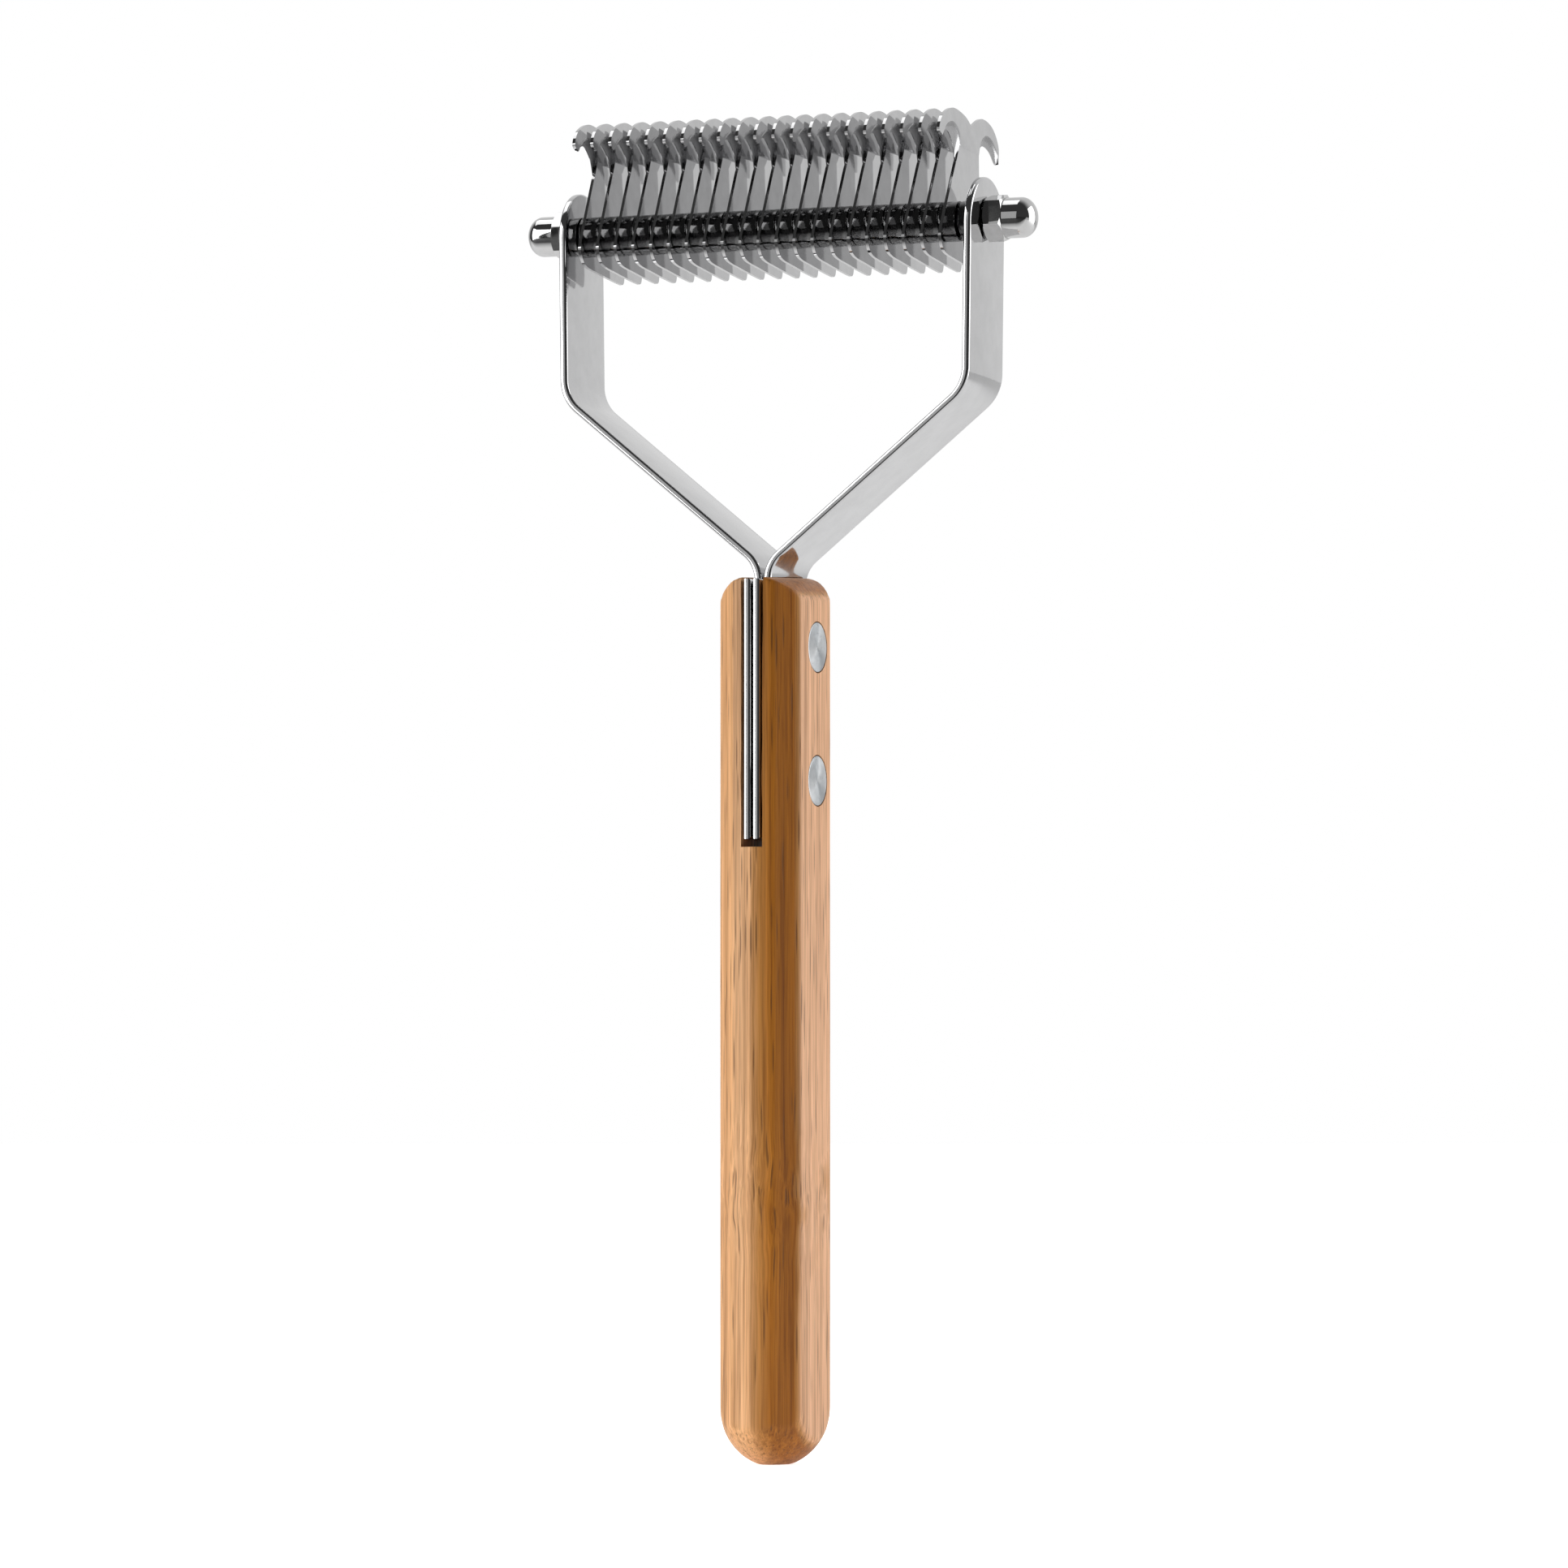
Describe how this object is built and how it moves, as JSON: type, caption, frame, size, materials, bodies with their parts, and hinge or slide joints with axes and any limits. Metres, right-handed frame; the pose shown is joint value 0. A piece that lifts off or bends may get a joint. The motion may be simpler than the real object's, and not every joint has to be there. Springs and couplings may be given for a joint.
{
  "type": "dematting comb",
  "caption": "Dematting rake: a pack of hooked blades and spacers on an axle between the arms of a steel fork riveted into a bamboo handle.",
  "frame": {"origin": "centre of the small flat on the butt of the handle", "axes": "+Z along the handle to the blades, X along the axle, -Y to the side the short front hooks point to"},
  "size_m": [0.0894, 0.0306, 0.2202],
  "materials": {
    "bamboo": "satin",
    "polished_steel": "polished",
    "blade_steel": "polished",
    "plated_nut": "polished",
    "rod_steel": "satin",
    "brushed_rivet": "brushed",
    "black_spacer": "gloss"
  },
  "bodies": {
    "fork_and_handle": {"handle": "bamboo", "left_arm": "polished_steel", "right_arm": "polished_steel", "upper_rivet": "brushed_rivet", "lower_rivet": "brushed_rivet", "axle_rod": "rod_steel"},
    "blade_pack": {"blade_01": "blade_steel", "blade_02": "blade_steel", "blade_03": "blade_steel", "blade_04": "blade_steel", "blade_05": "blade_steel", "blade_06": "blade_steel", "blade_07": "blade_steel", "blade_08": "blade_steel", "blade_09": "blade_steel", "blade_10": "blade_steel", "blade_11": "blade_steel", "blade_12": "blade_steel", "blade_13": "blade_steel", "blade_14": "blade_steel", "blade_15": "blade_steel", "blade_16": "blade_steel", "blade_17": "blade_steel", "blade_18": "blade_steel", "blade_19": "blade_steel", "blade_20": "blade_steel", "blade_21": "blade_steel", "spacer_01": "black_spacer", "spacer_02": "black_spacer", "spacer_03": "black_spacer", "spacer_04": "black_spacer", "spacer_05": "black_spacer", "spacer_06": "black_spacer", "spacer_07": "black_spacer", "spacer_08": "black_spacer", "spacer_09": "black_spacer", "spacer_10": "black_spacer", "spacer_11": "black_spacer", "spacer_12": "black_spacer", "spacer_13": "black_spacer", "spacer_14": "black_spacer", "spacer_15": "black_spacer", "spacer_16": "black_spacer", "spacer_17": "black_spacer", "spacer_18": "black_spacer", "spacer_19": "black_spacer", "spacer_20": "black_spacer", "spacer_21": "black_spacer", "spacer_22": "black_spacer"},
    "left_cap_nut": {"left_cap_nut": "plated_nut"},
    "right_cap_nut": {"right_cap_nut": "plated_nut"}
  },
  "joints": [
    {"name": "blade_pack_turn", "type": "hinge", "parent": "fork_and_handle", "child": "blade_pack", "pos_m": [0, 0.0023, 0.2023], "axis": [1, 0, 0], "continuous": true},
    {"name": "left_cap_nut_turn", "type": "hinge", "parent": "fork_and_handle", "child": "left_cap_nut", "pos_m": [-0.0365, 0.0023, 0.2023], "axis": [-1, 0, 0], "range_deg": [0, 360]},
    {"name": "right_cap_nut_turn", "type": "hinge", "parent": "fork_and_handle", "child": "right_cap_nut", "pos_m": [0.0365, 0.0023, 0.2023], "axis": [1, 0, 0], "range_deg": [0, 360]}
  ]
}
